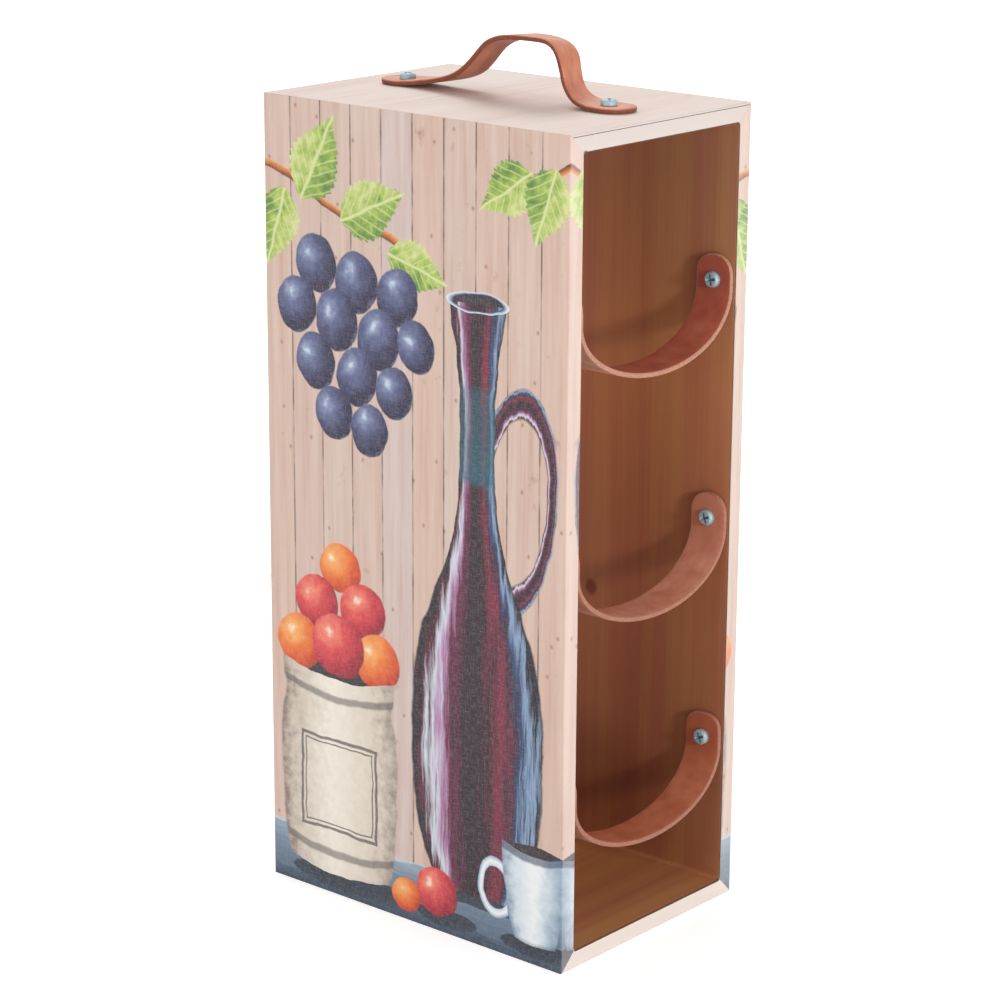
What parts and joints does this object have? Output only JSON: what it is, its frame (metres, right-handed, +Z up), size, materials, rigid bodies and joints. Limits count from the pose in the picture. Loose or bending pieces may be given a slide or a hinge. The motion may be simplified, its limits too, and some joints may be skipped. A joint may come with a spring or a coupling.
{
  "type": "wine bottle holder",
  "caption": "Upright wooden case open at front and back, with leather slings that carry bottles lying down, a leather handle on top and canvas-skinned sides.",
  "frame": {"origin": "centre of the case's underside, on the surface that it stands on", "axes": "+Z up, the front with the visible slings faces -Y, +X to the right seen from the front"},
  "size_m": [0.134, 0.19, 0.4317],
  "materials": {
    "stained_wood": "brown stain, satin",
    "whitewashed_wood": "whitewashed, matte",
    "printed_canvas": "printed canvas, matte",
    "sling_leather": "smooth, matte",
    "handle_leather": "smooth, matte",
    "zinc_plated_steel": "zinc plated"
  },
  "bodies": {
    "case": {"left_side_board": "stained_wood", "right_side_board": "stained_wood", "top_board": "whitewashed_wood", "bottom_board": "whitewashed_wood", "left_canvas_wrap": "printed_canvas", "right_canvas_wrap": "printed_canvas", "handle_strap": "handle_leather", "front_handle_screw": "zinc_plated_steel", "rear_handle_screw": "zinc_plated_steel", "front_top_screw_left": "zinc_plated_steel", "front_top_screw_right": "zinc_plated_steel", "front_middle_screw_left": "zinc_plated_steel", "front_middle_screw_right": "zinc_plated_steel", "front_bottom_screw_left": "zinc_plated_steel", "front_bottom_screw_right": "zinc_plated_steel", "rear_top_screw_left": "zinc_plated_steel", "rear_top_screw_right": "zinc_plated_steel", "rear_middle_screw_left": "zinc_plated_steel", "rear_middle_screw_right": "zinc_plated_steel", "rear_bottom_screw_left": "zinc_plated_steel", "rear_bottom_screw_right": "zinc_plated_steel"},
    "top_front": {"front_top_sling": "sling_leather"},
    "middle_front": {"front_middle_sling": "sling_leather"},
    "bottom_front": {"front_bottom_sling": "sling_leather"},
    "top_rear": {"rear_top_sling": "sling_leather"},
    "middle_rear": {"rear_middle_sling": "sling_leather"},
    "bottom_rear": {"rear_bottom_sling": "sling_leather"}
  },
  "joints": [
    {"name": "front_top_swing", "type": "hinge", "parent": "case", "child": "top_front", "pos_m": [0, -0.08365, 0.3152], "axis": [1, 0, 0], "range_deg": [-45, 45]},
    {"name": "front_middle_swing", "type": "hinge", "parent": "case", "child": "middle_front", "pos_m": [0, -0.08365, 0.19703], "axis": [1, 0, 0], "range_deg": [-45, 45]},
    {"name": "front_bottom_swing", "type": "hinge", "parent": "case", "child": "bottom_front", "pos_m": [0, -0.08365, 0.0835], "axis": [1, 0, 0], "range_deg": [-45, 45]},
    {"name": "rear_top_swing", "type": "hinge", "parent": "case", "child": "top_rear", "pos_m": [0, 0.08365, 0.3152], "axis": [1, 0, 0], "range_deg": [-45, 45]},
    {"name": "rear_middle_swing", "type": "hinge", "parent": "case", "child": "middle_rear", "pos_m": [0, 0.08365, 0.19703], "axis": [1, 0, 0], "range_deg": [-45, 45]},
    {"name": "rear_bottom_swing", "type": "hinge", "parent": "case", "child": "bottom_rear", "pos_m": [0, 0.08365, 0.0835], "axis": [1, 0, 0], "range_deg": [-45, 45]}
  ]
}
